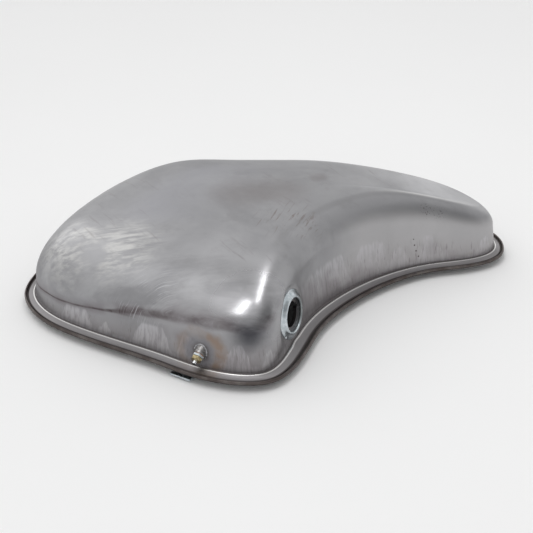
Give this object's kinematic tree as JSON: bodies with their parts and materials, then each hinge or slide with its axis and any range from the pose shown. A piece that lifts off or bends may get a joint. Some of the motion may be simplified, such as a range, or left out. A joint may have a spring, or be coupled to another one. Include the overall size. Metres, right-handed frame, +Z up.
{
  "type": "fuel tank",
  "caption": "Flat, comma-shaped pressed-steel fuel tank with a domed top, seam-welded rim, raised bayonet filler neck on the side and a threaded fuel outlet on the front.",
  "frame": {"origin": "under the middle of the tank's outline, on the plane of the pan's floor that it rests on", "axes": "+Z up through the domed top, +X towards the side with the filler neck, +Y from the front wall with the fuel outlet towards the narrow tail"},
  "size_m": [0.503, 0.4835, 0.1121],
  "materials": {
    "shell_steel": "bare drawn sheet with draw marks, grinding marks and weld staining",
    "pan_steel": "bare drawn sheet, browned by the seam weld at the rim",
    "inner_steel": "bare sheet",
    "zinc_plate": "bright zinc plating, bluish",
    "boss_steel": "turned",
    "bright_steel": "bright drawn tube",
    "brass": "turned",
    "washer_copper": "annealed copper",
    "gauze": "fine woven gauze, modelled as a plain sleeve"
  },
  "bodies": {
    "tank": {"upper_shell": "shell_steel", "bottom_pan": "pan_steel", "neck_ring": "zinc_plate", "bayonet_plate": "shell_steel", "neck_sleeve": "inner_steel", "neck_backing_ring": "inner_steel", "breather_tube": "inner_steel", "outlet_boss": "boss_steel", "sealing_washer": "washer_copper", "outlet_adapter": "zinc_plate", "olive": "brass", "pipe_stub": "bright_steel", "pickup_tube": "inner_steel", "strainer_gauze": "gauze", "strainer_collar": "brass", "strainer_cap": "brass", "pickup_clip": "zinc_plate", "front_baffle": "inner_steel", "tail_baffle": "inner_steel", "front_bracket": "zinc_plate", "left_bracket": "zinc_plate", "rear_bracket": "zinc_plate", "weld_nuts": "zinc_plate"},
    "union_nut": {"union_nut": "brass"}
  },
  "joints": [
    {"name": "union_nut_turn", "type": "hinge", "parent": "tank", "child": "union_nut", "pos_m": [0.0455, -0.2253, 0.031], "axis": [0, -0.8988, -0.4384], "continuous": true}
  ]
}
